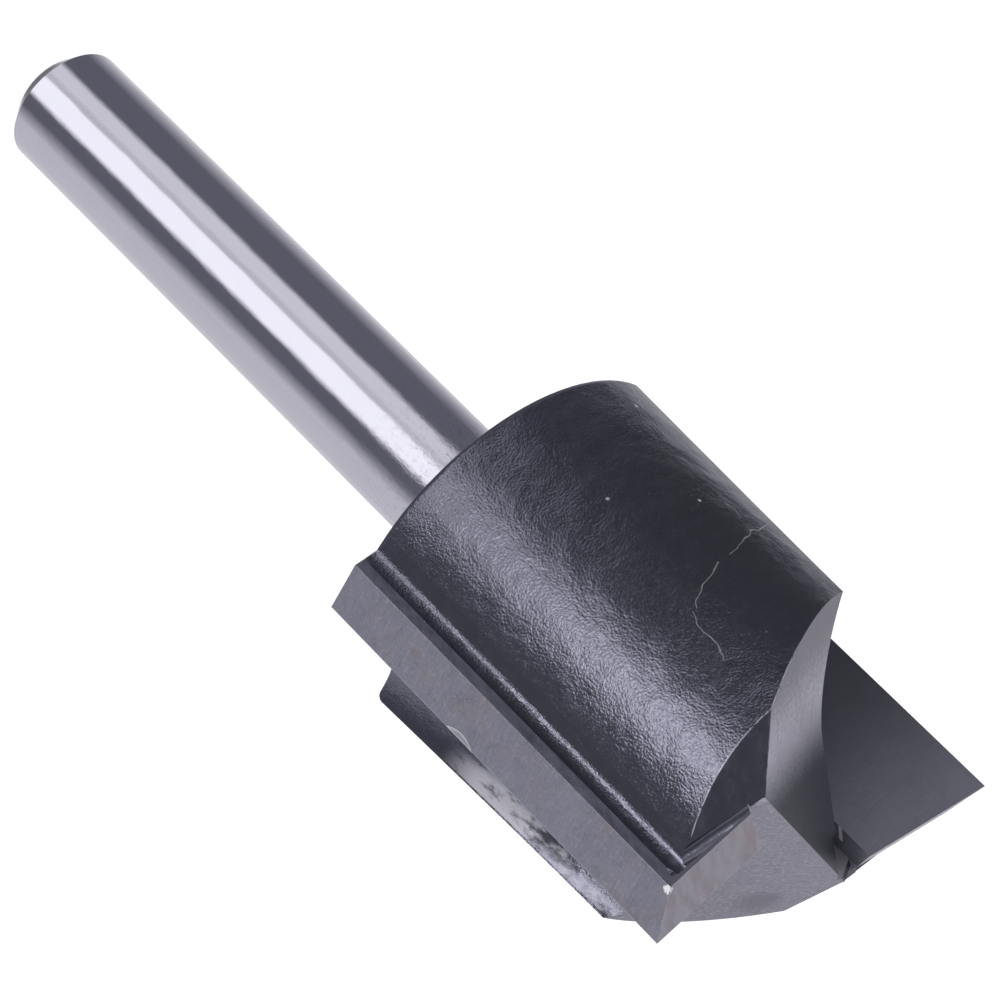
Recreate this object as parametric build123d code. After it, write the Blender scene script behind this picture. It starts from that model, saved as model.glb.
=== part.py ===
from build123d import *
from math import acos, asin, atan2, cos, degrees, radians, sin, sqrt, tan
import os

# Two-flute straight router bit, in millimetres.  It stands on the end of its
# shank: the origin is the middle of the shank's end face and +Z runs along the
# axis to the cutting end.  Wing 1 has its rake face on the plane
# y = -rake_offset, facing +Y; wing 2 is the same, turned half round.

# ---- driving dimensions ------------------------------------------------------
shank_diameter = 6.0
shank_length = 33.0          # shank end to the back of the head
shank_chamfer = 0.85
neck_radius = 0.5            # fillet where the shank meets the head

cutting_diameter = 20.0
tip_projection = 1.0         # how far the cutting edges stand out of the body
back_edge_radius = 0.35      # rounding of the head's back edge

tip_length = 21.0            # carbide tips, as long as the head
tip_width = 6.05
tip_thickness = 1.8
rake_offset = 3.9            # rake face behind the axis, which sets the hook
flank_relief_angle = 15.0
end_relief_angle = 21.0
end_dish_angle = 5.8         # the end edges fall towards the axis

lip_width = 0.5              # steel rim that backs each tip
lip_drop = 0.02              # rim below the ground faces of the tip
lip_fillet = 0.6             # hollow from the rim down to the body
lip_bevel_angle = 34.0       # the rim's back end falls away from the tip

gullet_width = 10.15         # rake face to heel wall
gullet_radius = 3.9
gullet_root_offset = 2.1     # gullet floor from the axis, at the cutting end
gullet_slope_angle = 11.0    # the floor rises towards the shank
groove_depth = 0.3           # groove in the floor of wing 2's gullet, along its tip
groove_lead = 0.9            # how far it starts before the rake face

facet_drop = 1.05            # end facet below the tips, at the back of the seat
facet_angle = 31.0
channel_radius = 0.4         # hollow between the end facet and the rim
channel_depth_inner = 0.2
channel_depth_outer = 0.12
channel_offset_inner = 0.45
channel_offset_outer = 0.8

ridge_angle = -68.5          # ground ridge across the web, seen from the end
ridge_drop = 1.3
end_grind_angle = 32.5       # slope of the two ground faces that meet there

# ---- sizes that follow -------------------------------------------------------
shank_radius = shank_diameter / 2
cutting_radius = cutting_diameter / 2
body_radius = cutting_radius - tip_projection
head_base = shank_length
tip_end = head_base + tip_length

tip_edge_x = sqrt(cutting_radius**2 - rake_offset**2)
tip_inner_x = tip_edge_x - tip_width
seat_back = rake_offset + tip_thickness
edge_angle = -degrees(asin(rake_offset / cutting_radius))
flank_angle = radians(edge_angle - 90 - flank_relief_angle)
flank = Vector(cos(flank_angle), sin(flank_angle), 0)
REACH = 2 * (cutting_diameter + tip_end)   # larger than the whole bit


def above(origin, normal):
    """Everything on the outer side of a plane, as a large block."""
    block = Box(REACH, REACH, REACH, align=(Align.CENTER, Align.CENTER, Align.MIN))
    return Plane(origin=origin, z_dir=normal) * block


def column(*corners):
    """An upright prism over a plan outline, through the head."""
    outline = make_face(Polyline(*corners, close=True))
    return Pos(0, 0, head_base - REACH / 2) * extrude(outline, REACH)


def both_wings(shape):
    """A feature of wing 1 and the same feature of wing 2."""
    return [Rot(0, 0, turn) * shape for turn in (0, 180)]


def turned_blank():
    """Shank and head, turned in one, with the neck fillet and rounded back edge."""
    profile = Polyline(
        (shank_radius, head_base - neck_radius),
        (shank_radius, shank_chamfer),
        (shank_radius - shank_chamfer, 0),
        (0, 0),
        (0, tip_end),
        (body_radius, tip_end),
        (body_radius, head_base + back_edge_radius),
    )
    back_edge = RadiusArc(
        (body_radius, head_base + back_edge_radius),
        (body_radius - back_edge_radius, head_base),
        back_edge_radius,
    )
    back_face = Line(
        (body_radius - back_edge_radius, head_base), (shank_radius + neck_radius, head_base)
    )
    neck = RadiusArc(
        (shank_radius + neck_radius, head_base),
        (shank_radius, head_base - neck_radius),
        -neck_radius,
    )
    section = make_face(profile + back_edge + back_face + neck)
    return revolve(Plane.XZ * section, Axis.Z, 360)


def lip():
    """Steel rim behind a tip: level with its flank, with a fillet down to the body."""
    inward = Vector(flank.Y, -flank.X, 0) * lip_drop
    edge = Vector(tip_edge_x, -rake_offset, 0) + inward
    start = edge + flank * ((-seat_back - edge.Y) / flank.Y)
    crest = start + flank * lip_width
    hollow_radius = body_radius + lip_fillet
    swing = acos(
        (hollow_radius**2 + crest.length**2 - lip_fillet**2) / (2 * hollow_radius * crest.length)
    )
    foot_angle = atan2(crest.Y, crest.X) - swing
    outward = Vector(cos(foot_angle), sin(foot_angle), 0)
    foot = outward * body_radius
    centre = outward * hollow_radius
    middle = centre + ((crest - centre) + (foot - centre)).normalized() * lip_fillet
    root = Vector(tip_inner_x, -seat_back, 0)
    rim = Polyline(foot, root, start, crest)
    outline = make_face(rim + ThreePointArc(crest, middle, foot))
    bar = Pos(0, 0, head_base) * extrude(outline, tip_length)
    return bar - above((0, -seat_back, head_base), (0, -tan(radians(lip_bevel_angle)), -1))


def relief_block(drop):
    """Everything above a tip's end relief face, lowered by the given drop."""
    corner = Vector(tip_edge_x, -rake_offset, tip_end - drop)
    normal = Vector(-tan(radians(end_dish_angle)), -tan(radians(end_relief_angle)), 1)
    return above(corner, normal)


def facet_height(behind_seat):
    """Height of the end facet's plane at a distance behind the seat."""
    return tip_end - facet_drop - behind_seat * tan(radians(facet_angle))


def channel_point(x, offset, depth):
    """A point on the axis of the round cutter that hollows the channel."""
    rise = (channel_radius - depth) / cos(radians(facet_angle))
    return Vector(x, -seat_back - offset, facet_height(offset) + rise)


def end_channel():
    """Round hollow behind the rim's end, wider apart from the seat at the outside."""
    inner = channel_point(tip_inner_x, channel_offset_inner, channel_depth_inner)
    outer = channel_point(tip_edge_x, channel_offset_outer, channel_depth_outer)
    bar = Plane(origin=inner, z_dir=outer - inner) * Cylinder(
        channel_radius, REACH, align=(Align.CENTER, Align.CENTER, Align.MIN)
    )
    return bar


def wing_end():
    """What is milled off a wing's end: above the facet, the rim and the channel."""
    facet = above(
        (0, -seat_back, tip_end - facet_drop),
        (0, -tan(radians(facet_angle)), 1),
    )
    behind_rim = column(
        (-REACH, -REACH), (REACH, -REACH), (REACH, -seat_back - lip_width),
        (-REACH, -seat_back - lip_width),
    )
    over_seat = column(
        (tip_inner_x, -seat_back - lip_width), (REACH, -seat_back - lip_width),
        (REACH, -rake_offset), (tip_inner_x, -rake_offset),
    )
    return [facet & behind_rim, relief_block(lip_drop) & over_seat, end_channel()]


def ground_slope():
    """What is ground off above the slope from the ridge down to wing 1's heel."""
    along = Vector(cos(radians(ridge_angle)), sin(radians(ridge_angle)), 0)
    to_heel = Vector(along.Y, -along.X, 0)
    fall = tan(radians(end_grind_angle))
    slope = above((0, 0, tip_end - ridge_drop), (to_heel.X * fall, to_heel.Y * fall, 1))
    heel_side = Plane(origin=(0, 0, head_base), x_dir=along, z_dir=(0, 0, 1)) * Box(
        REACH, REACH, REACH, align=(Align.CENTER, Align.MAX, Align.CENTER)
    )
    clear_of_wing_2 = column(
        (-REACH, -REACH), (REACH, -REACH), (REACH, seat_back + lip_width),
        (-tip_inner_x, seat_back + lip_width), (-tip_inner_x, rake_offset), (-REACH, rake_offset),
    )
    return slope & heel_side & clear_of_wing_2


def milled(outline):
    """A cut with this section at the cutting end, along the gullet's sloping floor."""
    down = Vector(-tan(radians(gullet_slope_angle)), 0, -1)
    return extrude(Pos(0, 0, tip_end) * outline, tip_length * down.length * 2, dir=down)


def gullet():
    """Chip space before wing 2's rake face, whose floor rises towards the shank."""
    heel_wall = rake_offset - gullet_width
    root = -gullet_root_offset
    path = Polyline(
        (root, heel_wall + gullet_radius), (root, rake_offset),
        (-REACH, rake_offset), (-REACH, heel_wall), (root - gullet_radius, heel_wall),
    )
    corner = RadiusArc(
        (root - gullet_radius, heel_wall), (root, heel_wall + gullet_radius), -gullet_radius
    )
    return milled(make_face(path + corner))


def groove():
    """Shallow groove in the gullet's floor, which frees a tip at its inner edge."""
    floor = groove_depth - gullet_root_offset
    start = rake_offset - groove_lead
    outline = Polyline(
        (floor, start), (floor, seat_back), (-REACH, seat_back), (-REACH, start), close=True
    )
    return milled(make_face(outline))


def seat():
    """The slot that a tip is brazed into, open at the outside and both ends."""
    slot = column(
        (tip_inner_x, -seat_back), (REACH, -seat_back),
        (REACH, -rake_offset), (tip_inner_x, -rake_offset),
    )
    return slot & above((0, 0, head_base), (0, 0, 1))


def steel_body():
    body = turned_blank()
    for rim in both_wings(lip()):
        body += rim
    cuts = wing_end() + [ground_slope(), gullet(), seat()]
    for cut in cuts:
        for feature in both_wings(cut):
            body -= feature
    return body - groove()


def carbide_tip():
    """Wing 1's tip: a flat bar with its flank, end relief and dish ground on."""
    bar = Pos(tip_inner_x, -seat_back, head_base) * Box(
        tip_width, tip_thickness, tip_length, align=(Align.MIN, Align.MIN, Align.MIN)
    )
    bar -= above((tip_edge_x, -rake_offset, head_base), (-flank.Y, flank.X, 0))
    return bar - relief_block(0)


parts = {"steel_body": steel_body()}
for number, tip in enumerate(both_wings(carbide_tip()), 1):
    parts[f"carbide_tip_{number}"] = tip

os.makedirs("parts", exist_ok=True)
for name, shape in parts.items():
    export_step(shape, f"parts/{name}.step")
    box = shape.bounding_box()
    print(f"{name}: {shape.volume:.1f} mm3, {box.min} to {box.max}")
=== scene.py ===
"""A two-flute router bit: its finishes, the floor, the light and the camera."""
import math

import bpy
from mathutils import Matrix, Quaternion, Vector


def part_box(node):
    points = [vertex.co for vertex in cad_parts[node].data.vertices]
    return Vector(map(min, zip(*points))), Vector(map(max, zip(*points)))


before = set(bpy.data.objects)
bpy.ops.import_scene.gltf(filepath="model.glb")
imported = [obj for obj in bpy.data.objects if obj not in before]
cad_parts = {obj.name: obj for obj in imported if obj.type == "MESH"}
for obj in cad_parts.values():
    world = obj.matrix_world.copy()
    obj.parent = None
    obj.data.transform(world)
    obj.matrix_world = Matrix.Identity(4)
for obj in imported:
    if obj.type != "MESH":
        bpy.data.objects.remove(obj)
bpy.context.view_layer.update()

MM = 0.001

# ---- sizes, in millimetres ----------------------------------------------------
tip_low, tip_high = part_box("carbide_tip_1")
body_low, body_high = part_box("steel_body")
HEAD_BASE = tip_low.z / MM
TIP_END = tip_high.z / MM
BODY_RADIUS = (body_high.y - body_low.y) / 2 / MM
EDGE_X = tip_high.x / MM
RAKE_OFFSET = -tip_high.y / MM
SEAT_BACK = -tip_low.y / MM

# The boxes don't tell these, so they repeat values of the part's source.
SHANK_RADIUS = 3.0
RIDGE_DROP = 1.3             # ridge across the web, below the tips' ends
RIDGE_ANGLE = math.radians(-68.5)
GROUND_TILT = math.radians(32.5)
FACET_TILT = math.radians(31.0)
FLANK_RELIEF = math.radians(15.0)
END_RELIEF = math.radians(21.0)
END_DISH = math.radians(5.8)


# Spans are pairs for Graph.ramp, which gives 0 at the first and 1 at the second.
def above_head(*heights):
    return [HEAD_BASE + height for height in heights]


def below_end(*drops):
    return [TIP_END - drop for drop in drops]


def inside_body(*depths):
    return [BODY_RADIUS - depth for depth in depths]


# ---- directions of wing 1's flat faces; wing 2's are turned half round ----------
flank_turn = -math.atan2(RAKE_OFFSET, EDGE_X) - FLANK_RELIEF
FLANK_FACE = Vector((math.cos(flank_turn), math.sin(flank_turn), 0))
FACET_FACE = Vector((0, -math.tan(FACET_TILT), 1)).normalized()
END_FACE = Vector((-math.tan(END_DISH), -math.tan(END_RELIEF), 1)).normalized()
RIDGE_SIDE = Vector((math.sin(RIDGE_ANGLE), -math.cos(RIDGE_ANGLE), 0))   # to wing 1

# Cosines between which a face counts as facing a direction.
SQUARE_ON = (0.985, 0.995)
NEARLY_SQUARE_ON = (0.98, 0.995)
FLAT = (1.0, 1.0, 0.0)       # drops the height from a place
WHITE = (1.0, 1.0, 1.0)

# ---- camera ---------------------------------------------------------------------
CAMERA_MM = Vector((63.554, -156.230, 117.152))
AIM_MM = Vector((0.251, -3.613, 33.239))
CAMERA_ROLL = math.radians(134.645)
SENSOR_MM = 36.0
FOCAL_PIXELS = 4345.3
PICTURE_PIXELS = 1000
CLIP_START = 0.01
CLIP_END = 20.0
CAMERA_AZIMUTH = math.degrees(math.atan2(CAMERA_MM.y, CAMERA_MM.x))


# ---- node helpers ---------------------------------------------------------------
class Graph:
    """Short calls that build one node tree."""

    def __init__(self, tree):
        self.tree = tree
        tree.nodes.clear()

    def node(self, kind, inputs=(), **settings):
        made = self.tree.nodes.new(kind)
        for name, value in settings.items():
            setattr(made, name, value)
        for name, value in dict(inputs).items():
            self.put(made.inputs[name], value)
        return made

    def put(self, socket, value):
        if isinstance(value, bpy.types.NodeSocket):
            self.tree.links.new(value, socket)
        else:
            socket.default_value = value

    def math(self, operation, *values, clamp=False):
        made = self.node("ShaderNodeMath", operation=operation, use_clamp=clamp)
        for socket, value in zip(made.inputs, values):
            self.put(socket, value)
        return made.outputs[0]

    def fold(self, operation, values):
        """One sum on the first value and each further one in turn."""
        result = values[0]
        for value in values[1:]:
            result = self.math(operation, result, value)
        return result

    def least(self, *values):
        return self.fold("MINIMUM", values)

    def most(self, *values):
        return self.fold("MAXIMUM", values)

    def product(self, *values):
        return self.fold("MULTIPLY", values)

    def ragged(self, value, noise, amount):
        """A value that noise shifts, so that an edge drawn at it isn't straight."""
        return self.math("ADD", value, self.product(noise, amount))

    def vector(self, operation, *values, output=0):
        made = self.node("ShaderNodeVectorMath", operation=operation)
        for socket, value in zip(made.inputs, values):
            self.put(socket, value)
        return made.outputs[output]

    def dot(self, first, second):
        return self.vector("DOT_PRODUCT", first, second, output=1)

    def off_point(self, place, point):
        return self.vector("DISTANCE", place, point, output=1)

    def off_segment(self, place, start, end):
        """Distance from a straight segment."""
        run = end - start
        apart = self.vector("SUBTRACT", place, start)
        share = self.math("DIVIDE", self.dot(apart, run), run.length_squared, clamp=True)
        return self.off_point(apart, self.scaled(run, share))

    def scaled(self, vector, factor):
        made = self.node("ShaderNodeVectorMath", {0: vector, "Scale": factor}, operation="SCALE")
        return made.outputs[0]

    def stretched(self, vector, factors):
        """The vector scaled by a different amount along each axis."""
        return self.vector("MULTIPLY", vector, factors)

    def xyz(self, vector):
        return self.node("ShaderNodeSeparateXYZ", {"Vector": vector}).outputs[:3]

    def plan(self, x, y):
        """A vector without height."""
        return self.node("ShaderNodeCombineXYZ", {0: x, 1: y}).outputs[0]

    def ramp(self, value, span):
        """0 up to the span's first value, 1 from its second, and smooth between."""
        made = self.node(
            "ShaderNodeMapRange", {"Value": value, "From Min": span[0], "From Max": span[1]},
            interpolation_type="SMOOTHSTEP",
        )
        return made.outputs["Result"]

    def mask(self, value, span, strength):
        """A ramp that ends at the given strength."""
        return self.product(self.ramp(value, span), strength)

    def mix(self, factor, first, second):
        """Mixes two numbers."""
        made = self.node("ShaderNodeMix", {"Factor": factor}, data_type="FLOAT")
        self.put(made.inputs[2], first)
        self.put(made.inputs[3], second)
        return made.outputs[0]

    def mix_colour(self, factor, first, second):
        made = self.node("ShaderNodeMix", {"Factor": factor}, data_type="RGBA")
        self.put(made.inputs[6], rgba(first))
        self.put(made.inputs[7], rgba(second))
        return made.outputs[2]

    def layered(self, tone, *layers):
        """Colours laid over a tone in turn, each by its own mask."""
        for mask, colour in layers:
            tone = self.mix_colour(mask, tone, colour)
        return tone

    def noise(self, place, scale, detail=2.0, roughness=0.5, output="Fac"):
        made = self.node(
            "ShaderNodeTexNoise",
            {"Vector": place, "Scale": scale, "Detail": detail, "Roughness": roughness},
        )
        return made.outputs[output]

    def bump(self, height, depth_mm, normal=None, strength=1.0):
        made = self.node(
            "ShaderNodeBump", {"Height": height, "Distance": depth_mm * MM, "Strength": strength}
        )
        if normal is not None:
            self.put(made.inputs["Normal"], normal)
        return made.outputs["Normal"]

    def principled(self, inputs):
        return self.node("ShaderNodeBsdfPrincipled", inputs).outputs[0]

    def mix_shader(self, factor, first, second):
        return self.node("ShaderNodeMixShader", {"Fac": factor, 1: first, 2: second}).outputs[0]

    def finish(self, shader, kind="ShaderNodeOutputMaterial"):
        self.node(kind, {"Surface": shader})


def rgba(colour):
    """A colour tuple with its alpha; a socket passes through."""
    return (*colour, 1.0) if isinstance(colour, tuple) and len(colour) == 3 else colour


def blank_material(name):
    material = bpy.data.materials.new(name)
    material.use_nodes = True
    return material, Graph(material.node_tree)


def new_material(name):
    """A material, its graph and the place on the piece in millimetres."""
    material, graph = blank_material(name)
    place = graph.node("ShaderNodeTexCoord").outputs["Object"]
    return material, graph, graph.scaled(place, 1 / MM)


# ---- masks that the finishes share ------------------------------------------------
BEVEL_SAMPLES = 4
EDGE_TURN = (0.01, 0.05)     # how far the rounded normal leaves the face's
EDGE_BREAKS = (0.30, 0.52)


def face_direction(graph, direction):
    """How nearly the surface faces a direction: 1 where it faces it squarely."""
    return graph.dot(graph.node("ShaderNodeNewGeometry").outputs["True Normal"], direction)


def facing_any(graph, directions):
    """1 on the flat faces that face one of the directions, on either wing."""
    both = [(x * turn, y * turn, z) for x, y, z in directions for turn in (1, -1)]
    nearest = graph.most(*(face_direction(graph, direction) for direction in both))
    return graph.ramp(nearest, SQUARE_ON)


def edge_wear_and_highlight(graph, place, radius):
    """1 on the very edges of a piece, broken up along them."""
    rounded = graph.node(
        "ShaderNodeBevel", {"Radius": radius * MM}, samples=BEVEL_SAMPLES
    ).outputs[0]
    facing = graph.node("ShaderNodeNewGeometry").outputs["Normal"]
    turn = graph.math("SUBTRACT", 1.0, graph.dot(rounded, facing))
    breaks = graph.ramp(graph.noise(place, 1.6, detail=3.0, roughness=0.7), EDGE_BREAKS)
    return graph.product(graph.ramp(turn, EDGE_TURN), breaks)


def from_axis(graph, place):
    return graph.vector("LENGTH", graph.stretched(place, FLAT), output=1)


# ---- steel body: marks of use and a painted highlight -------------------------------
# They are on wing 1's outside, as (degrees round the axis, height in millimetres).
# Each scratch is a straight run that noise makes waver.
SCRATCHES = (
    ((-134, 43), (-110, 44)),
    ((-106, 44), (-92, 45.5)),
    ((-90, 45.5), (-86, 48)),
)
SCRATCH_WAVER = 1.2
SCRATCH_WIDTH = 0.048        # at most; noise narrows it
SCRATCH_EDGE = (0.012, -0.012)
SCRATCH_STRENGTH = 0.5
SPECKS = (
    (-96, 39),
    (-118, 41),
    (-131, 35),
)
SPECK_EDGE = (0.10, 0.06)

# The corner of wing 2's heel, inside the gullet, and a painted highlight on it in bright bare
# steel.
HEEL_X = (5.6, 6.1)
HEEL_Y = (4.8, 5.3)
HEEL_HIGHLIGHT_START = above_head(3.8, 6.2)
HEEL_HIGHLIGHT_WHOLE = above_head(11.0, 7.0)
HEEL_HIGHLIGHT_WHOLE_STRENGTH = 0.22
HEEL_HIGHLIGHT_PATCHES = (0.44, 0.72)
HEEL_HIGHLIGHT_FADE = above_head(9.0, 15.0)
HEEL_HIGHLIGHT_STRENGTH = 0.85
HEEL_HIGHLIGHT_FADED_STRENGTH = 0.4

# The pit at the inner end of wing 2's tip is half bare.
PIT_LOW_MM = (-3.3, 3.8, 49.0)
PIT_HIGH_MM = (-1.7, 6.3, 54.0)
PIT_EDGE = 0.1
PIT_STRENGTH = 0.5


def on_sheet(degrees, height):
    """A point of the head's outside, laid flat: the way round, then the height."""
    return Vector((BODY_RADIUS * math.radians(degrees), height, 0))


def unrolled(graph, place):
    """The head's outside laid flat, to match on_sheet."""
    x, y, z = graph.xyz(place)
    return graph.plan(graph.product(graph.math("ARCTAN2", y, x), BODY_RADIUS), z)


def dots(graph, place, scale, edge, chosen, strength):
    """Dots in some cells of a cloud: their edge and the choice of cells are spans."""
    cells = graph.node(
        "ShaderNodeTexVoronoi", {"Vector": place, "Scale": scale, "Randomness": 1.0}
    ).outputs
    lot = graph.node("ShaderNodeSeparateColor", {"Color": cells["Color"]}).outputs[0]
    return graph.product(graph.ramp(cells["Distance"], edge), graph.ramp(lot, chosen), strength)


def fine_marks(graph, place):
    """Hairline scratches, specks and dust on the head."""
    sheet = unrolled(graph, place)
    outside = graph.ramp(from_axis(graph, place), inside_body(0.1, 0.05))
    cloud = graph.vector("SUBTRACT", graph.noise(place, 0.6, output="Color"), (0.5, 0.5, 0.5))
    waver = graph.stretched(cloud, (SCRATCH_WAVER, SCRATCH_WAVER, 0.0))
    wavering = graph.vector("ADD", sheet, waver)
    off_line = graph.least(
        *(graph.off_segment(wavering, on_sheet(*start), on_sheet(*end)) for start, end in SCRATCHES)
    )
    width = graph.product(graph.noise(place, 4.0, detail=3.0), SCRATCH_WIDTH)
    scratch = graph.ramp(graph.math("SUBTRACT", off_line, width), SCRATCH_EDGE)
    off_speck = graph.least(*(graph.off_point(sheet, on_sheet(*spot)) for spot in SPECKS))
    return graph.most(
        graph.product(outside, scratch, SCRATCH_STRENGTH),
        graph.product(outside, graph.ramp(off_speck, SPECK_EDGE)),
        dots(graph, place, 1.3, edge=(0.045, 0.02), chosen=(0.62, 0.66), strength=0.55),
        dots(graph, place, 4.0, edge=(0.15, 0.06), chosen=(0.70, 0.74), strength=0.22),
    )


def inside_pit(graph, place):
    """1 inside the pit's upright box, soft at its edges."""
    walls = []
    for value, low, high in zip(graph.xyz(place), PIT_LOW_MM, PIT_HIGH_MM):
        walls.append(graph.ramp(value, (low, low + PIT_EDGE)))
        walls.append(graph.ramp(value, (high, high - PIT_EDGE)))
    return graph.product(*walls)


def inside_heel(graph, place):
    """The rounded corner of wing 2's heel, inside the gullet."""
    x, y = graph.xyz(place)[:2]
    off_wall = graph.ramp(from_axis(graph, place), inside_body(0.05, 0.12))
    return graph.product(graph.ramp(x, HEEL_X), graph.ramp(y, HEEL_Y), off_wall)


def heel_highlight(graph, place):
    """Painted highlight on wing 2's heel: nearly whole at first, then in patches."""
    z = graph.xyz(place)[2]
    patches = graph.noise(graph.stretched(place, (2.2, 2.2, 0.9)), 1.3, detail=4.0, roughness=0.65)
    whole = graph.mask(z, HEEL_HIGHLIGHT_WHOLE, HEEL_HIGHLIGHT_WHOLE_STRENGTH)
    shown = graph.ramp(graph.math("ADD", patches, whole), HEEL_HIGHLIGHT_PATCHES)
    fading = graph.mix(graph.ramp(z, HEEL_HIGHLIGHT_FADE), HEEL_HIGHLIGHT_STRENGTH, HEEL_HIGHLIGHT_FADED_STRENGTH)
    return graph.product(inside_heel(graph, place), graph.ramp(z, HEEL_HIGHLIGHT_START), shown, fading)


# ---- steel body: paint --------------------------------------------------------------
PAINT_DEEP = (0.009, 0.011, 0.015)
PAINT_PALE = (0.018, 0.017, 0.024)
PAINT_TINT = (0.80, 0.80, 1.0)
PAINT_IOR = 2.6
PAINT_ROUGHNESS = (0.18, 0.26)
MARK_TONE = (0.34, 0.33, 0.35)
# Bright bare steel where the paint is worn through; it also makes the painted highlight on wing 2's
# heel.
WORN_AND_HIGHLIGHT_TONE = (0.80, 0.79, 0.87)
RUBBED_METALLIC = 0.35
RUBBED_ROUGHNESS = 0.4

PEBBLE_DEPTH = 0.022
PEBBLES_ON_SMOOTH = 0.12     # what is left of them where the paint is smooth
WAVE_DEPTH = 0.07
WAVES_IN_GULLET = 0.3
IN_GULLET = (7.6, 6.6)       # distance from the axis

# The paint is smooth on the end facets, the rims' flanks and their ends.
SMOOTH_FACES = (FACET_FACE, FLANK_FACE, END_FACE)
SMOOTH_END = below_end(2.1, 1.8)

# It is worn through at edges near the end that lie off the seats.
WORN_RADIUS = 0.09
WORN_END = below_end(5.0, 4.0)
OFF_SEATS = (SEAT_BACK + 0.9, SEAT_BACK + 1.1)


def paint_shader(graph, place):
    """Pebbled satin black paint, rubbed through at the edges, with a painted highlight on wing 2's
    heel.
    """
    y, z = graph.xyz(place)[1:]
    in_gullet = graph.ramp(from_axis(graph, place), IN_GULLET)
    smooth = graph.most(
        facing_any(graph, SMOOTH_FACES), in_gullet, graph.ramp(z, SMOOTH_END),
        inside_heel(graph, place),
    )
    pebbles = graph.noise(place, 10.0, detail=1.0)
    waves = graph.noise(place, 0.8)
    normal = graph.bump(pebbles, PEBBLE_DEPTH, strength=graph.mix(smooth, 1.0, PEBBLES_ON_SMOOTH))
    normal = graph.bump(
        waves, WAVE_DEPTH, normal, strength=graph.mix(in_gullet, 1.0, WAVES_IN_GULLET)
    )
    tone = graph.mix_colour(waves, PAINT_DEEP, PAINT_PALE)
    paint = graph.principled({
        "Base Color": graph.mix_colour(fine_marks(graph, place), tone, MARK_TONE),
        "Roughness": graph.mix(graph.noise(place, 1.7), *PAINT_ROUGHNESS),
        "Normal": normal, "IOR": PAINT_IOR, "Specular Tint": rgba(PAINT_TINT),
    })
    bare = graph.principled({
        "Base Color": rgba(WORN_AND_HIGHLIGHT_TONE), "Metallic": RUBBED_METALLIC,
        "Roughness": RUBBED_ROUGHNESS,
    })
    off_seats = graph.ramp(graph.math("ABSOLUTE", y), OFF_SEATS)
    worn = graph.most(
        graph.product(edge_wear_and_highlight(graph, place, WORN_RADIUS), graph.ramp(z, WORN_END), off_seats),
        # Painted highlight on wing 2's heel, laid on in bright bare steel.
        heel_highlight(graph, place),
        graph.product(inside_pit(graph, place), PIT_STRENGTH),
    )
    return graph.mix_shader(worn, paint, bare)


# ---- steel body: ground slopes ------------------------------------------------------
GRINDING_1 = Vector((0.51, 0.72, 0.47))      # run of the grinding lines, wing 1's slope
GRINDING_2 = Vector((0.82, -0.41, -0.40))
LINE_STRETCH = 0.5           # noise per millimetre along the lines and across them
LINE_PITCH = 16.0
LINE_DEPTH = 0.012
GRIT_DEPTH = 0.010
RIDGE_BLEND = (0.0, 0.02)
OFF_SLOPE = (0.06, 0.03)
SLOPE_ROUGHNESS = (0.34, 0.46)

# Wing 1's slope is painted paler and wing 2's darker, though both are the same ground steel:
# painted light and shade.
SLOPE_1_DEEP = (0.68, 0.67, 0.76)
SLOPE_1_PALE = (0.90, 0.89, 0.98)
SLOPE_2_DEEP = (0.33, 0.32, 0.40)
SLOPE_2_PALE = (0.42, 0.41, 0.50)
SLOPE_FOOT = (0.25, 0.245, 0.29)
LINE_DEEP = (0.26, 0.255, 0.31)
LINE_PALE = (0.66, 0.65, 0.72)
GRIT_DEEP = (0.24, 0.24, 0.28)
GRIT_PALE = (0.80, 0.79, 0.84)

# Wing 1's slope has a rubbed corner and wing 2's a smudge.
RUBBED_CORNER_MM = (2.4, -6.1, 52.6)
SMUDGE_MM = (0.6, 7.0, 50.6)
SMUDGE_TONE = (0.20, 0.195, 0.24)

# Painted shade on wing 1's slope: dark from wing 2's gullet up to a mottled limit, measured along
# SHADE_RUN, and painted darker, though less dark, at the far end.
SHADE_RUN = Vector((0.5, 0.75, 0.0))
SHADE_SPAN = (-4.1, -1.4)
SHADE_TONE = (0.05, 0.05, 0.07)
SHADE_STRENGTH = 0.93
FAR_SHADE_SPAN = (-4.3, -6.4)
FAR_SHADE_TONE = (0.28, 0.275, 0.32)
FAR_SHADE_STRENGTH = 0.9


def slope_direction(wing):
    """Outward direction of a wing's ground slope; wing 2's is -1."""
    return RIDGE_SIDE * wing * math.sin(GROUND_TILT) + Vector((0, 0, math.cos(GROUND_TILT)))


def grinding_lines(graph, place, run, wing):
    """Noise drawn out along one direction of a wing's ground slope."""
    beside = slope_direction(wing).cross(run).normalized()
    along = graph.product(graph.dot(place, run), LINE_STRETCH)
    over = graph.product(graph.dot(place, beside), LINE_PITCH)
    return graph.noise(graph.plan(along, over), 1.0, detail=3.0, roughness=0.6)


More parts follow.
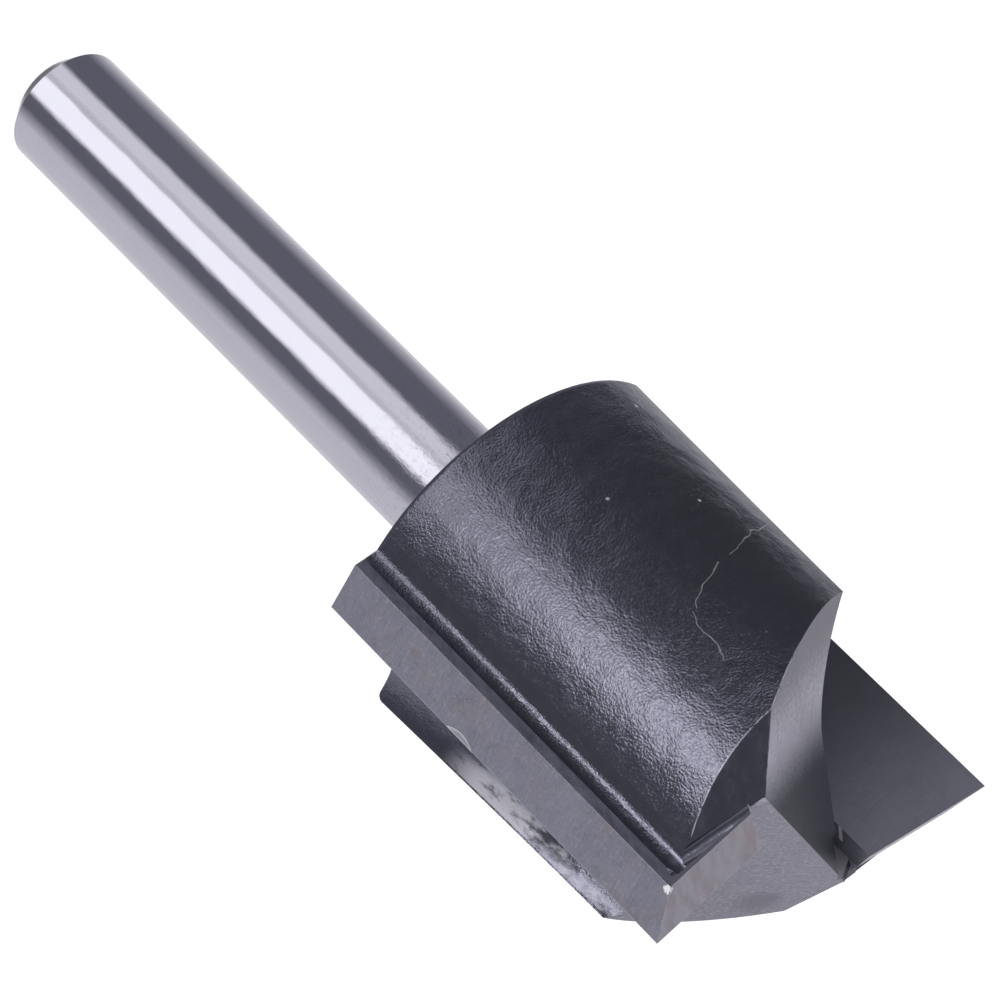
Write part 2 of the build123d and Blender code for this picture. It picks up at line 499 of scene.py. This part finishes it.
def ground_shader(graph, place, across):
    """Bare steel with fine parallel grinding lines, and painted shade towards wing 2's gullet."""
    on_wing_1 = graph.ramp(across, RIDGE_BLEND)
    lines = graph.mix(
        on_wing_1,
        grinding_lines(graph, place, GRINDING_2, -1),
        grinding_lines(graph, place, GRINDING_1, 1),
    )
    cloud = graph.noise(place, 0.7, detail=4.0, roughness=0.6)
    grit = graph.noise(place, 6.0, detail=3.0, roughness=0.7)
    height = graph.xyz(place)[2]
    # Painted light and shade: wing 1's slope gets the paler tones, wing 2's the darker.
    deep = graph.mix_colour(on_wing_1, SLOPE_2_DEEP, SLOPE_1_DEEP)
    pale = graph.mix_colour(on_wing_1, SLOPE_2_PALE, SLOPE_1_PALE)
    off_corner = graph.ragged(graph.off_point(place, RUBBED_CORNER_MM), grit, 0.4)
    off_smudge = graph.ragged(graph.off_point(place, SMUDGE_MM), cloud, 2.0)
    from_gullet = graph.ragged(graph.dot(place, SHADE_RUN), grit, 1.6)
    tone = graph.layered(
        graph.mix_colour(cloud, deep, pale),
        (graph.mask(height, below_end(1.8, 4.2), strength=0.4), SLOPE_FOOT),
        (graph.mask(off_corner, (0.9, 0.4), strength=0.6), GRIT_PALE),
        (graph.mask(lines, (0.54, 0.70), strength=0.5), LINE_PALE),
        (graph.mask(lines, (0.46, 0.32), strength=0.5), LINE_DEEP),
        (graph.mask(grit, (0.50, 0.66), strength=0.35), GRIT_PALE),
        (graph.mask(grit, (0.46, 0.34), strength=0.35), GRIT_DEEP),
        (graph.mask(off_smudge, (2.6, 1.4), strength=0.6), SMUDGE_TONE),
        # Painted shade near wing 2's gullet and at the slope's far end.
        (graph.product(on_wing_1, graph.mask(from_gullet, SHADE_SPAN, SHADE_STRENGTH)), SHADE_TONE),
        (graph.product(on_wing_1, graph.mask(from_gullet, FAR_SHADE_SPAN, FAR_SHADE_STRENGTH)), FAR_SHADE_TONE),
    )
    return graph.principled({
        "Base Color": tone, "Metallic": 1.0, "Roughness": graph.mix(cloud, *SLOPE_ROUGHNESS),
        "Normal": graph.bump(grit, GRIT_DEPTH, graph.bump(lines, LINE_DEPTH)),
    })


# ---- steel body: shank --------------------------------------------------------------
SHANK_DEEP = (0.58, 0.57, 0.635)
SHANK_PALE = (0.62, 0.61, 0.67)
SCUFF_TONE = (0.42, 0.41, 0.48)
SCUFF_STRENGTH = 0.35
SHANK_ROUGHNESS = (0.06, 0.11)
SCUFF_ROUGHNESS = 0.24
RING_DEPTH = 0.0012
SHANK_WAVE_DEPTH = 0.014
SCUFF_DEPTH = 0.012
NEAR_HEAD = above_head(-11.0, -1.0)

# The shank's finish ends on the fillet at its neck and below the head's back.
SHANK_SIDE = (SHANK_RADIUS + 0.55, SHANK_RADIUS + 0.45)
SHANK_TOP = above_head(0.02, 0.01)


def shank_shader(graph, place, height):
    """Bright ground steel: faint rings, a slight waviness and a ragged end by the head."""
    rings = graph.noise(graph.stretched(place, (0.4, 0.4, 22.0)), 1.0, detail=3.0)
    waves = graph.noise(graph.stretched(place, (1.0, 1.0, 0.5)), 0.9)
    scuffs = graph.noise(graph.stretched(place, (1.0, 1.0, 0.6)), 4.5, detail=4.0, roughness=0.7)
    wear = graph.noise(graph.stretched(place, (1.0, 1.0, 0.35)), 1.2, detail=4.0)
    near_head = graph.ramp(height, NEAR_HEAD)
    patches = graph.product(near_head, graph.ramp(scuffs, (0.50, 0.66)))
    normal = graph.bump(waves, SHANK_WAVE_DEPTH, graph.bump(rings, RING_DEPTH))
    return graph.principled({
        "Base Color": graph.layered(
            graph.mix_colour(wear, SHANK_DEEP, SHANK_PALE),
            (graph.product(patches, SCUFF_STRENGTH), SCUFF_TONE),
        ),
        "Metallic": 1.0,
        "Roughness": graph.mix(patches, graph.mix(wear, *SHANK_ROUGHNESS), SCUFF_ROUGHNESS),
        "Normal": graph.bump(scuffs, SCUFF_DEPTH, normal, strength=near_head),
    })


def steel_material():
    """Paint on the head, bare slopes at its end and a bright shank."""
    material, graph, place = new_material("steel_body_finish")
    z = graph.xyz(place)[2]

    across = graph.dot(place, RIDGE_SIDE)
    fall = graph.product(graph.math("ABSOLUTE", across), math.tan(GROUND_TILT))
    slope = graph.math("SUBTRACT", TIP_END - RIDGE_DROP, fall)
    off_slope = graph.math("ABSOLUTE", graph.math("SUBTRACT", z, slope))
    ground = graph.product(
        graph.ramp(off_slope, OFF_SLOPE), facing_any(graph, [slope_direction(1)])
    )
    shank = graph.product(graph.ramp(from_axis(graph, place), SHANK_SIDE), graph.ramp(z, SHANK_TOP))

    head = graph.mix_shader(
        ground, paint_shader(graph, place), ground_shader(graph, place, across)
    )
    graph.finish(graph.mix_shader(shank, head, shank_shader(graph, place, z)))
    return material


# ---- carbide --------------------------------------------------------------------
CARBIDE_DEEP = (0.38, 0.38, 0.465)
CARBIDE_PALE = (0.53, 0.52, 0.60)
CARBIDE_ROUGHNESS = (0.32, 0.46)
CARBIDE_DEPTH = 0.010
GRAIN_AXIS = (0.6, 0.8, 0)
GRAIN_SLANT = math.radians(18)
BROWNED = (0.50, 0.43, 0.42)
PITTED = (0.22, 0.22, 0.25)
SCORED = (0.70, 0.69, 0.75)
GOUGED = (0.24, 0.235, 0.28)
END_PALE = (0.66, 0.635, 0.705)
END_PINK = (0.58, 0.51, 0.56)
END_STRENGTH = 0.8
# Painted highlight along the tips' edges.
EDGE_HIGHLIGHT_TONE = (0.90, 0.88, 0.92)
EDGE_STRENGTH = 0.75
EDGE_RADIUS = 0.05
RAKE_DEEP = (0.16, 0.16, 0.20)
RAKE_PALE = (0.40, 0.40, 0.48)
RAKE_CLOUD = (0.08, 0.08, 0.10)
RAKE_CLOUD_STRENGTH = 0.4
RAKE_LIGHTENS = below_end(9.0, 0.0)

# Tip 1 has a chipped length of its cutting edge and a white flake at its corner.
NICK_Z = 41.5
NICK_HALF_LENGTH = 0.85
NICK_WIDTH = 0.27
NICK_EDGE = (-0.01, 0.02)
NICK_RIM = (0.06, 0.03)
NICK_TONE = (0.75, 0.75, 0.78)
NICK_STRENGTH = 0.35
NICK_HOLLOW = (0.0, 0.12)
NICK_DEPTH = 0.06
FLAKE_MM = (7.9, -5.6, 53.1)
FLAKE_EDGE = (0.54, 0.48)
FLAKE_RAGGED = 0.6
FLAKE_TONE = (0.90, 0.90, 0.92)
FLAKE_DEPTH = 0.05

# Tip 2's inner end, in the pit, is dull, with a painted glint on it.
INNER_TONE = (0.17, 0.17, 0.21)
INNER_DULLNESS = 0.8
GLINT_LOW_MM = Vector((-3.16, 3.9, 51.5))
GLINT_HIGH_MM = Vector((-3.16, 4.8, 51.6))
GLINT_EDGE = (0.17, 0.05)
GLINT_TONE = (0.85, 0.83, 0.80)


def carbide_grain(graph, place):
    """Fine streaks that run aslant."""
    slanted = graph.node(
        "ShaderNodeVectorRotate", {"Vector": place, "Axis": GRAIN_AXIS, "Angle": GRAIN_SLANT},
        rotation_type="AXIS_ANGLE",
    ).outputs[0]
    return graph.noise(graph.stretched(slanted, (1.5, 1.5, 9.0)), 1.0, detail=4.0, roughness=0.7)


def carbide_tone(graph, place, grain, grit, rake_side):
    """Grey and mottled, with a pinkish end, a dark rake face on its own side and painted edge
    highlights.
    """
    cloud = graph.noise(place, 0.55, detail=4.0, roughness=0.6)
    warmth = graph.noise(graph.stretched(place, (1.0, 1.0, 0.6)), 0.9, detail=3.0, roughness=0.6)
    pits = graph.noise(place, 1.6, detail=5.0, roughness=0.7)
    streaks = graph.noise(graph.stretched(place, (2.0, 0.7, 0.7)), 1.0, detail=3.0, roughness=0.6)
    end_tone = graph.mix_colour(graph.ramp(streaks, (0.40, 0.66)), END_PALE, END_PINK)
    rake_tone = graph.layered(
        graph.mix_colour(graph.ramp(graph.xyz(place)[2], RAKE_LIGHTENS), RAKE_DEEP, RAKE_PALE),
        (graph.product(cloud, RAKE_CLOUD_STRENGTH), RAKE_CLOUD),
    )
    on_rake = graph.ramp(face_direction(graph, (0, rake_side, 0)), NEARLY_SQUARE_ON)
    return graph.layered(
        graph.mix_colour(cloud, CARBIDE_DEEP, CARBIDE_PALE),
        (graph.mask(warmth, (0.50, 0.68), strength=0.5), BROWNED),
        (graph.mask(pits, (0.52, 0.72), strength=0.35), PITTED),
        (graph.mask(grain, (0.54, 0.68), strength=0.40), SCORED),
        (graph.mask(grain, (0.44, 0.32), strength=0.35), GOUGED),
        (graph.mask(grit, (0.52, 0.66), strength=0.35), SCORED),
        (graph.product(facing_any(graph, [END_FACE]), END_STRENGTH), end_tone),
        # Painted highlight along the edges.
        (graph.product(edge_wear_and_highlight(graph, place, EDGE_RADIUS), EDGE_STRENGTH), EDGE_HIGHLIGHT_TONE),
        (on_rake, rake_tone),
    )


def chipped(graph, place, tone, normal):
    """Tip 1's nick and flake: the tone, the normal and how metallic it is."""
    from_edge = graph.off_point(graph.stretched(place, FLAT), (EDGE_X, -RAKE_OFFSET, 0))
    along = graph.math("SUBTRACT", graph.xyz(place)[2], NICK_Z)
    along = graph.math("DIVIDE", along, NICK_HALF_LENGTH)
    bow = graph.math("SUBTRACT", 1.0, graph.product(along, along))
    inside = graph.math("SUBTRACT", graph.product(bow, NICK_WIDTH), from_edge)
    nick = graph.ramp(inside, NICK_EDGE)
    at_rim = graph.most(graph.ramp(inside, NICK_RIM), graph.ramp(from_edge, NICK_RIM))
    rough = graph.noise(place, 4.0, detail=4.0, roughness=0.9)
    off_flake = graph.ragged(graph.off_point(place, FLAKE_MM), rough, FLAKE_RAGGED)
    flake = graph.ramp(off_flake, FLAKE_EDGE)
    tone = graph.layered(
        tone,
        (graph.product(nick, NICK_STRENGTH), NICK_TONE),
        (graph.product(nick, at_rim), WHITE),
        (flake, FLAKE_TONE),
    )
    normal = graph.bump(graph.ramp(inside, NICK_HOLLOW), -NICK_DEPTH, normal)
    normal = graph.bump(flake, FLAKE_DEPTH, normal)
    return tone, normal, graph.math("SUBTRACT", 1.0, flake)


def dull_end_and_glint(graph, place, tone):
    """Tip 2's inner end with its painted glint: the tone and how metallic it is."""
    inner_end = graph.ramp(face_direction(graph, (1, 0, 0)), NEARLY_SQUARE_ON)
    off_glint = graph.off_segment(place, GLINT_LOW_MM, GLINT_HIGH_MM)
    # A painted glint: a bright streak on the inner end.
    glint = graph.product(inner_end, graph.ramp(off_glint, GLINT_EDGE))
    tone = graph.layered(tone, (inner_end, INNER_TONE), (glint, GLINT_TONE))
    return tone, graph.math("SUBTRACT", 1.0, graph.product(inner_end, INNER_DULLNESS))


def carbide_material(number):
    """Ground carbide; tip 1 is chipped and tip 2 has a painted glint on its inner end."""
    material, graph, place = new_material(f"carbide_{number}_finish")
    grain = carbide_grain(graph, place)
    grit = graph.noise(place, 7.0, detail=3.0, roughness=0.7)
    tone = carbide_tone(graph, place, grain, grit, rake_side=1 if number == 1 else -1)
    height = graph.math("ADD", graph.product(grain, 0.5), graph.product(grit, 0.5))
    normal = graph.bump(height, CARBIDE_DEPTH)
    if number == 1:
        tone, normal, metallic = chipped(graph, place, tone, normal)
    else:
        tone, metallic = dull_end_and_glint(graph, place, tone)
    graph.finish(graph.principled({
        "Base Color": tone, "Metallic": metallic, "Normal": normal,
        "Roughness": graph.mix(grain, *CARBIDE_ROUGHNESS),
    }))
    return material


def dress(node, material):
    """Puts the material on a CAD node."""
    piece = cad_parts[node]
    piece.data.materials.clear()
    piece.data.materials.append(material)


# ---- floor ------------------------------------------------------------------------
FLOOR_SIZE = 6.0
FLOOR_TONE = (0.9, 0.9, 0.9)
FLOOR_ROUGHNESS = 0.9
FLOOR_GLOW = 0.75


def add_floor():
    """A pale floor that shines a little and is seen by the camera and matt faces."""
    bpy.ops.mesh.primitive_plane_add(size=FLOOR_SIZE)
    floor = bpy.context.object
    floor.name = "floor"
    floor.visible_glossy = False
    floor.visible_shadow = False
    material, graph = blank_material("floor_white")
    graph.finish(graph.principled({
        "Base Color": rgba(FLOOR_TONE), "Roughness": FLOOR_ROUGHNESS,
        "Emission Color": rgba(WHITE), "Emission Strength": FLOOR_GLOW,
    }))
    floor.data.materials.append(material)


# ---- light ------------------------------------------------------------------------
# The studio round the bit: a key panel, a strip beside it with a dim gap between, a
# fill behind, and dark elsewhere, by degrees from the camera's azimuth.
KEY = 1.43
STRIP = 0.90
GAP = 0.74
FILL = 0.73
DARK = 0.16
ADDED_BLUE = 0.035           # on every level
LEVEL_SCALE = 2.0            # the levels are held divided by this, below 1
STUDIO_BANDS = (
    (-180, FILL),
    (-155, FILL),
    (-105, DARK),
    (-55, DARK),
    (-46, STRIP),
    (-26, STRIP),
    (-20, GAP),
    (-14, GAP),
    (-10, KEY),
    (22, KEY),
    (31, DARK),
    (52, DARK),
    (80, FILL),
    (180, FILL),
)

# Above and below the bands, by the sine of the elevation.
UPPER_TONE = (0.46, 0.46, 0.48)
UPPER_SPAN = (-0.05, 0.35)
OVERHEAD_TONE = (0.16, 0.16, 0.18)
OVERHEAD_SPAN = (0.84, 0.93)
BELOW_TONE = (0.20, 0.20, 0.22)
BELOW_SPAN = (-0.62, -0.80)

# Cards round the head, seen only in its reflections: degrees from the camera's
# azimuth, the level at their foot and the level at their head.
CARD_RADIUS = 60.0
CARD_HEIGHTS = (5.0, 36.0)
CARD_STEPS = 24
CARDS = (
    ("rear_panel", -165, -125, 0.85, 0.85),
    ("flag", -118, -8, 0.06, 0.06),
    ("softbox", 1, 17, 0.45, 4.4),
    ("side_flag", 19, 48, 0.14, 0.14),
)

LAMP_MM = Vector((-420, -380, 420))
LAMP_AIM_MM = Vector((0, 0, 30))
LAMP_SIZE_MM = 300
LAMP_WATTS = 0.6


def add_world():
    """White to the camera; to everything else, the studio's bands."""
    world = bpy.data.worlds.new("studio")
    bpy.context.scene.world = world
    world.use_nodes = True
    graph = Graph(world.node_tree)
    direction = graph.node("ShaderNodeTexCoord").outputs["Generated"]
    height = graph.xyz(direction)[2]
    turn = math.radians(CAMERA_AZIMUTH)
    ahead = graph.dot(direction, (math.cos(turn), math.sin(turn), 0))
    aside = graph.dot(direction, (-math.sin(turn), math.cos(turn), 0))
    share = graph.math("MULTIPLY_ADD", graph.math("ARCTAN2", aside, ahead), 0.5 / math.pi, 0.5)
    bands = graph.node("ShaderNodeValToRGB", {"Fac": share})
    stops = bands.color_ramp.elements
    while len(stops) > 1:
        stops.remove(stops[-1])
    for number, (degrees, level) in enumerate(STUDIO_BANDS):
        position = degrees / 360 + 0.5
        stop = stops[0] if number == 0 else stops.new(position)
        stop.position = position
        colour = Vector((level, level, level + ADDED_BLUE)) / LEVEL_SCALE
        stop.color = (*colour, 1)
    light = graph.layered(
        graph.scaled(bands.outputs["Color"], LEVEL_SCALE),
        (graph.ramp(height, UPPER_SPAN), UPPER_TONE),
        (graph.ramp(height, OVERHEAD_SPAN), OVERHEAD_TONE),
        (graph.ramp(height, BELOW_SPAN), BELOW_TONE),
        (graph.node("ShaderNodeLightPath").outputs["Is Camera Ray"], WHITE),
    )
    background = graph.node("ShaderNodeBackground", {"Color": light, "Strength": 1.0})
    graph.finish(background.outputs[0], "ShaderNodeOutputWorld")


def add_card(name, start, end, foot_level, head_level):
    """A curved upright panel that shines and shows only in reflections."""
    points = []
    for step in range(CARD_STEPS + 1):
        turn = math.radians(CAMERA_AZIMUTH + start + (end - start) * step / CARD_STEPS)
        outward = Vector((math.cos(turn), math.sin(turn), 0))
        for height in CARD_HEIGHTS:
            points.append((outward * CARD_RADIUS + Vector((0, 0, height))) * MM)
    corners = (0, 2, 3, 1)
    faces = [[2 * step + corner for corner in corners] for step in range(CARD_STEPS)]
    mesh = bpy.data.meshes.new(name)
    mesh.from_pydata(points, [], faces)
    card = bpy.data.objects.new(name, mesh)
    bpy.context.scene.collection.objects.link(card)
    card.visible_camera = False
    card.visible_diffuse = False
    card.visible_shadow = False
    card.visible_transmission = False
    material, graph, place = new_material(name)
    share = graph.ramp(graph.xyz(place)[2], CARD_HEIGHTS)
    level = graph.mix(share, foot_level, head_level)
    graph.finish(graph.node("ShaderNodeEmission", {"Strength": level}).outputs[0])
    mesh.materials.append(material)


def add_soft_light():
    data = bpy.data.lights.new("side", "AREA")
    data.shape = "DISK"
    data.size = LAMP_SIZE_MM * MM
    data.energy = LAMP_WATTS
    lamp = bpy.data.objects.new("side", data)
    bpy.context.scene.collection.objects.link(lamp)
    lamp.location = LAMP_MM * MM
    lamp.rotation_mode = "QUATERNION"
    lamp.rotation_quaternion = (LAMP_AIM_MM - LAMP_MM).to_track_quat("-Z", "Y")


def add_camera():
    data = bpy.data.cameras.new("photo_view")
    data.sensor_width = SENSOR_MM
    data.lens = FOCAL_PIXELS * SENSOR_MM / PICTURE_PIXELS
    data.clip_start = CLIP_START
    data.clip_end = CLIP_END
    camera = bpy.data.objects.new("photo_view", data)
    bpy.context.scene.collection.objects.link(camera)
    camera.location = CAMERA_MM * MM
    upright = (AIM_MM - CAMERA_MM).to_track_quat("-Z", "Y")
    camera.rotation_mode = "QUATERNION"
    camera.rotation_quaternion = upright @ Quaternion((0, 0, 1), CAMERA_ROLL)
    bpy.context.scene.camera = camera


# ---- the scene ----------------------------------------------------------------------
dress("steel_body", steel_material())
for number in (1, 2):
    dress(f"carbide_tip_{number}", carbide_material(number))

add_floor()
add_world()
for card in CARDS:
    add_card(*card)
add_soft_light()
add_camera()
bpy.context.scene.view_settings.view_transform = "Standard"
